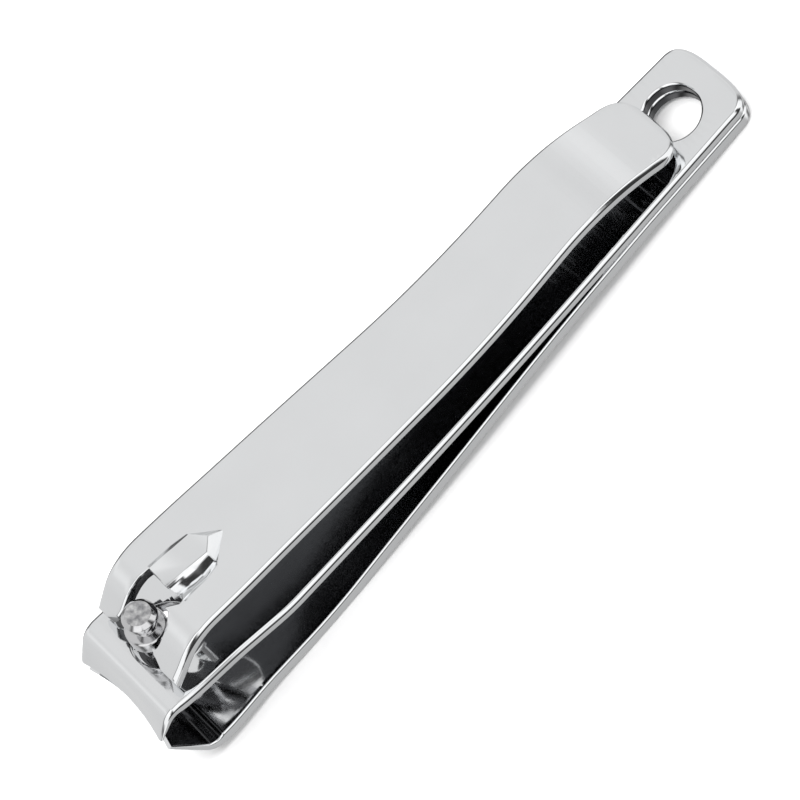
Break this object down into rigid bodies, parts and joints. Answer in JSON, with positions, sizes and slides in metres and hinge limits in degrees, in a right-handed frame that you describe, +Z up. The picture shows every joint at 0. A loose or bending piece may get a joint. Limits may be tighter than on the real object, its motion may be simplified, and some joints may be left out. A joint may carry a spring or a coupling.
{
  "type": "nail clipper",
  "caption": "Lever nail clipper: two sprung arms riveted at the tail, curved jaws, a swivelling pin and a fold-flat lever with a raised fulcrum.",
  "frame": {"origin": "centre of the bounding box, at its bottom, on the surface the clipper rests on", "axes": "+X along the clipper from the jaws to the tail, +Y across it, +Z up from the surface it rests on"},
  "size_m": [0.0818, 0.0132, 0.0188],
  "materials": {
    "polished_arm": "polished",
    "polished_lever": "polished",
    "plain_steel": "satin"
  },
  "bodies": {
    "base": {"lower_arm": "polished_arm", "rear_rivet": "plain_steel"},
    "spring_arm": {"upper_arm": "polished_arm"},
    "pin": {"pin": "plain_steel"},
    "lever": {"lever": "polished_lever"}
  },
  "joints": [
    {"name": "jaw_close", "type": "hinge", "parent": "base", "child": "spring_arm", "pos_m": [0.02561, 0, 0.00271], "axis": [0, -1, 0], "range_deg": [0, 1.65], "stiffness_Nm_per_rad": 60},
    {"name": "pin_swivel", "type": "hinge", "parent": "base", "child": "pin", "pos_m": [-0.03297, 0, 0.01567], "axis": [0.2516, 0, 0.9678], "continuous": true},
    {"name": "lever_tilt", "type": "hinge", "parent": "pin", "child": "lever", "pos_m": [-0.03297, 0, 0.01567], "axis": [0, -1, 0], "range_deg": [0, 165]}
  ]
}
